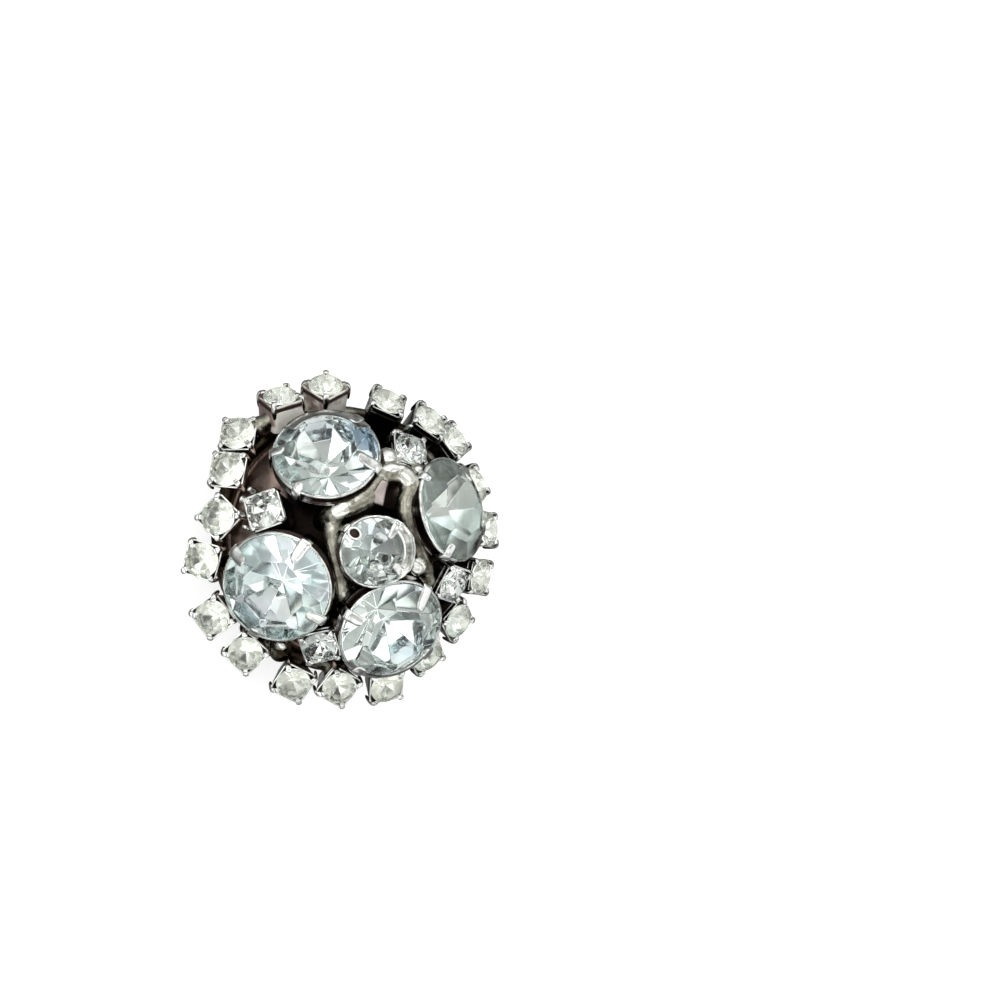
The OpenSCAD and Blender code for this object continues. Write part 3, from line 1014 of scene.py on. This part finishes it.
def make_tab():
    """The flat tab that stands on the middle bar, narrower at its round top."""
    along = TAB_TIP - TAB_FOOT
    tab = begin(bpy.ops.mesh.primitive_cube_add, "tab", size=1)
    bpy.ops.transform.resize(value=(TAB_WIDTH, TAB_SHEET, along.length))
    bpy.ops.transform.translate(value=(0, 0, along.length / 2))
    pick(tab, "faces", lambda f: f.normal.z > 0.9)
    grow(TAB_TAPER, (0, 0, along.length), (1, 0, 0))
    done()
    at_origin(tab)
    round_edges(tab, 0.18, segments=3)
    upright = along.to_track_quat("Z", "Y").to_matrix().to_4x4()
    turn = Matrix.Rotation(math.radians(TAB_TURN), 4, "Z")
    tab.data.transform(Matrix.Translation(TAB_FOOT) @ upright @ turn)
    mark_tone(tab, lambda spot: 1)
    shade(tab, 40)
    set_metal(tab, "upright_tab", TAB)


# Painted highlights on the solder, its tone over 1 there, each (x, y, z, radius)
SOLDER_HIGHLIGHTS = [
    (1.85, 6, 14.6, 1.3), (-5.8, -8.5, 10.6, 0.8), (-2.6, 1.9, 15.8, 0.7),
    (3.1, 4.6, 15.5, 0.6), (4, -2.5, 14.9, 0.8),
]
# The ring round the edge: radius of its middle line and of its wire
RING_R, RING_WIRE = 10.01, 0.7
# Solder between a rim cup and the ring: how far under the girdle it starts, its radius
# there, and its radius and level over the back in the ring
FOOT_DOWN, FOOT_R, IN_RING_R, IN_RING_UP = 2.1, 0.95, 0.68, 0.75


def solder_tone(spot):
    """Bright on top of the middle bar and dark under the dome, as painted light and shade, browner
    on the two side bars, and over 1 at the painted highlights."""
    for *middle, reach in SOLDER_HIGHLIGHTS:
        if (spot - Vector(middle)).length < reach:
            return 2
    # Painted light on top, painted shade lower down under the dome
    high = between((spot - DOME_CENTRE).length, 12, 13.8)
    right = between(spot.x, 2.3, 3.1) * between(-spot.y, -3, -1)
    left = between(-spot.x, 1.7, 2.4) * between(-spot.y, -1.2, -0.2)
    return high * (1 - 0.55 * right) * (1 - 0.3 * left)


def make_solder():
    """The bars round the centre cup and the feet of the rim cups, melted into the edge ring."""
    parts = []
    for bar in BARS:
        parts += bead_run(bar, spacing=0.3, jitter=0.04)
    parts += [blob(lump[:3], lump[3]) for lump in LUMPS]
    ring = begin(bpy.ops.mesh.primitive_torus_add, "edge_ring", major_segments=96, minor_segments=16,
                 major_radius=RING_R, minor_radius=RING_WIRE, location=(0, 0, BACK_Z + RING_WIRE))
    done()
    at_origin(ring)
    parts.append(ring)
    for node in RIM_STONES:
        place = seat_of(node)[0]
        foot = (place @ Vector((0, 0, -FOOT_DOWN * MM))) / MM
        bearing = math.atan2(place.translation.y, place.translation.x)
        in_ring = (RING_R * math.cos(bearing), RING_R * math.sin(bearing), BACK_Z + IN_RING_UP)
        parts += bead_run([(*foot, FOOT_R), (*in_ring, IN_RING_R)], spacing=0.5, jitter=0.08)
    solder = join(parts, "solder_and_ring")
    fuse(solder, voxel=0.12)
    roughen(solder, grain=1.3, height=0.12)
    mark_tone(solder, solder_tone)
    shade(solder)
    set_metal(solder, "solder_bars", SOLDER)


# The back plate's dome: outer radius, thickness, height of its edge over the dome's centre,
# where the brim that hides in the edge ring ends, and steps of its profile
PLATE_R, PLATE_SHEET, PLATE_RISE, BRIM_R, PLATE_STEPS = 10.65, 0.4, 5.44, 9.95, 24


def plate_tone(spot):
    """Brown towards the left of the dome and its foot, black as painted shade in its middle and on
    the right but for a little brown beside the tab as painted light, and even inside."""
    if (spot - DOME_CENTRE).length < PLATE_R - PLATE_SHEET / 2:
        return 0.75
    brown = between(math.hypot(spot.x, spot.y), 5, 7.8) * between(-spot.x, -2, 3)
    # A little brown beside the tab, painted light in the shade
    painted_light_by_tab = 1 - between(math.hypot(spot.x - 2.9, spot.y - 3.4), 1, 2.2)
    return 2.3 * max(brown, painted_light_by_tab) - 1.3


def dome_arc(r):
    """Points from the top of a dome of radius r down to the plate's edge."""
    end = math.acos(PLATE_RISE / r)
    turns = [end * i / PLATE_STEPS for i in range(PLATE_STEPS + 1)]
    return [(r * math.sin(turn), DOME_CENTRE.z + r * math.cos(turn)) for turn in turns]


def make_back_plate():
    """The domed plate, clear of the big stones' points, with its brim."""
    brim = [(BRIM_R, DOME_CENTRE.z + PLATE_RISE), (BRIM_R, DOME_CENTRE.z + PLATE_RISE - PLATE_SHEET)]
    profile = dome_arc(PLATE_R) + brim + dome_arc(PLATE_R - PLATE_SHEET)[::-1]
    plate = lathe("plate_master", profile, 96, loop=False)
    mark_tone(plate, plate_tone)
    shade(plate, 40)
    set_metal(plate, "back_plate", PLATE)


# The bar across the back that holds the clip
BRIDGE_SIZE = (5, 20, 0.8)


def make_bridge():
    """The hidden bar, with rounded edges."""
    bridge = begin(bpy.ops.mesh.primitive_cube_add, "bridge_master", size=1, scale=BRIDGE_SIZE,
                   location=(0, 0, BACK_Z + BRIDGE_SIZE[2] / 2))
    done()
    at_origin(bridge)
    round_edges(bridge, 0.2, segments=3)
    mark_tone(bridge, lambda spot: 0.8)
    shade(bridge, 40)
    set_metal(bridge, "clip_bridge", CLIP)


def make_clip():
    """The hidden clip, its CAD solid with rounded edges."""
    clip = moved_copy(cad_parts["ear_clip"], Matrix.Scale(1 / MM, 4))
    clip.name = clip.data.name = "clip_master"
    select_alone(clip)
    edit()
    select_whole()
    bpy.ops.mesh.remove_doubles(threshold=1e-4)
    bpy.ops.mesh.dissolve_limited(angle_limit=math.radians(1))
    done()
    round_edges(clip, 0.22, segments=3, angle=40)
    mark_tone(clip, lambda spot: 0.9)
    shade(clip, 40)
    give(clip, CLIP)
    piece = copy_of(clip, "bent_clip", Matrix.Identity(4))
    discard(clip)
    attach(piece, "root")
    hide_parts("ear_clip")


# Floor, light and camera

def make_floor():
    """A pale floor that glows a little, so that it meets the white of the photograph."""
    bpy.ops.object.select_all(action="DESELECT")
    bpy.ops.mesh.primitive_plane_add(size=6, location=(0, 0, -0.02 * MM))
    floor = bpy.context.active_object
    floor.name = "floor"
    material, _, shader = new_material("pale_floor")
    fill(shader, {"Base Color": (0.9, 0.9, 0.9, 1), "Roughness": 0.7,
                  "Emission Color": (1, 1, 1, 1), "Emission Strength": 0.42})
    floor.data.materials.append(material)
    floor.visible_glossy = False


# Light cards: the direction they hang in, their width and height in metres, how bright
# they look against white, and their colour
CARDS = [
    # name, azimuth, elevation, size, brightness, colour
    ("key_card", 138, 56, (0.3, 0.3), 1.1, (1, 0.99, 0.97)),
    ("top_card", 20, 78, (0.12, 0.16), 1.04, (1, 1, 1)),
    ("right_card", 8, 38, (0.3, 0.14), 1.06, (1, 1, 1)),
    ("front_card", 262, 42, (0.34, 0.14), 1.06, (0.98, 1, 1)),
    ("back_card", 74, 34, (0.24, 0.14), 1, (0.86, 0.93, 1)),
    ("left_card", 190, 28, (0.32, 0.16), 1.12, (0.97, 1, 1)),
]
CARD_DISTANCE, CARD_AIM = 0.4, Vector((0, 0, 0.01))


def hang_card(name, azimuth, elevation, size, brightness, colour):
    """A rectangular soft light that faces the earring, unseen itself."""
    lamp = bpy.data.lights.new(name, "AREA")
    lamp.shape = "RECTANGLE"
    lamp.size, lamp.size_y = size
    lamp.energy = brightness * math.pi * size[0] * size[1]
    lamp.color = colour
    light = bpy.data.objects.new(name, lamp)
    a, e = math.radians(azimuth), math.radians(elevation)
    way = Vector((math.cos(e) * math.cos(a), math.cos(e) * math.sin(a), math.sin(e)))
    light.location = way * CARD_DISTANCE + CARD_AIM
    light.rotation_euler = way.to_track_quat("Z", "Y").to_euler()
    light.visible_camera = False
    put_in_scene(light)


def make_lights():
    """The cards, in a room that is pale above and dark below the earring."""
    world = bpy.data.worlds.new("studio")
    world.use_nodes = True
    nodes = world.node_tree.nodes
    way = nodes.new("ShaderNodeTexCoord").outputs["Generated"]
    parts = nodes.new("ShaderNodeSeparateXYZ")
    fill(parts, {"Vector": way})
    height = spread(nodes, parts.outputs["Z"], -0.3, 0.25, 0.26, 1)
    screens = spread(nodes, noise(nodes, way, 1.7, 1), 0.38, 0.62, 0.5, 1.05)
    lit = calculate(nodes, "MULTIPLY", height, screens)
    seen = nodes.new("ShaderNodeLightPath").outputs["Is Camera Ray"]
    fill(nodes["Background"], {"Color": (0.985, 1, 0.985, 1),
                               "Strength": calculate(nodes, "MAXIMUM", lit, seen)})
    bpy.context.scene.world = world
    for card in CARDS:
        hang_card(*card)


# The photograph is this many pixels wide and high and shows this many metres at the rim's
# level, the rim's middle lies at this height over the floor and at this pixel, and the
# camera looks from this way and distance
PHOTO_PIXELS, PHOTO_WIDTH = 1000, 0.08
RIM_HEIGHT, RIM_PIXEL = 0.0088, (346.5, 538)
CAMERA_WAY, CAMERA_DISTANCE = (-0.28, -0.03, 0.96), 0.25
SENSOR = 36


def make_camera():
    """The photograph's camera."""
    aim = Vector((0, 0, RIM_HEIGHT))
    back = Vector(CAMERA_WAY).normalized()
    camera = bpy.data.objects.new("camera", bpy.data.cameras.new("camera"))
    camera.data.sensor_width = SENSOR
    camera.data.lens = SENSOR * CAMERA_DISTANCE / PHOTO_WIDTH
    camera.data.shift_x = (PHOTO_PIXELS / 2 - RIM_PIXEL[0]) / PHOTO_PIXELS
    camera.data.shift_y = (RIM_PIXEL[1] - PHOTO_PIXELS / 2) / PHOTO_PIXELS
    right = Vector((0, 1, 0)).cross(back).normalized()
    up = back.cross(right)
    camera.matrix_world = Matrix.Translation(aim + back * CAMERA_DISTANCE) @ Matrix(
        (right, up, back)).transposed().to_4x4()
    camera.data.clip_start = 0.01
    put_in_scene(camera)
    bpy.context.scene.camera = camera


make_stones()
make_round_cups()
make_square_cups()
make_solder()
make_tab()
make_back_plate()
make_bridge()
make_clip()
make_floor()
make_lights()
make_camera()
scene = bpy.context.scene
scene.view_settings.view_transform = "Standard"
scene.cycles.max_bounces = 16
scene.cycles.glossy_bounces = 8
scene.cycles.transmission_bounces = 12
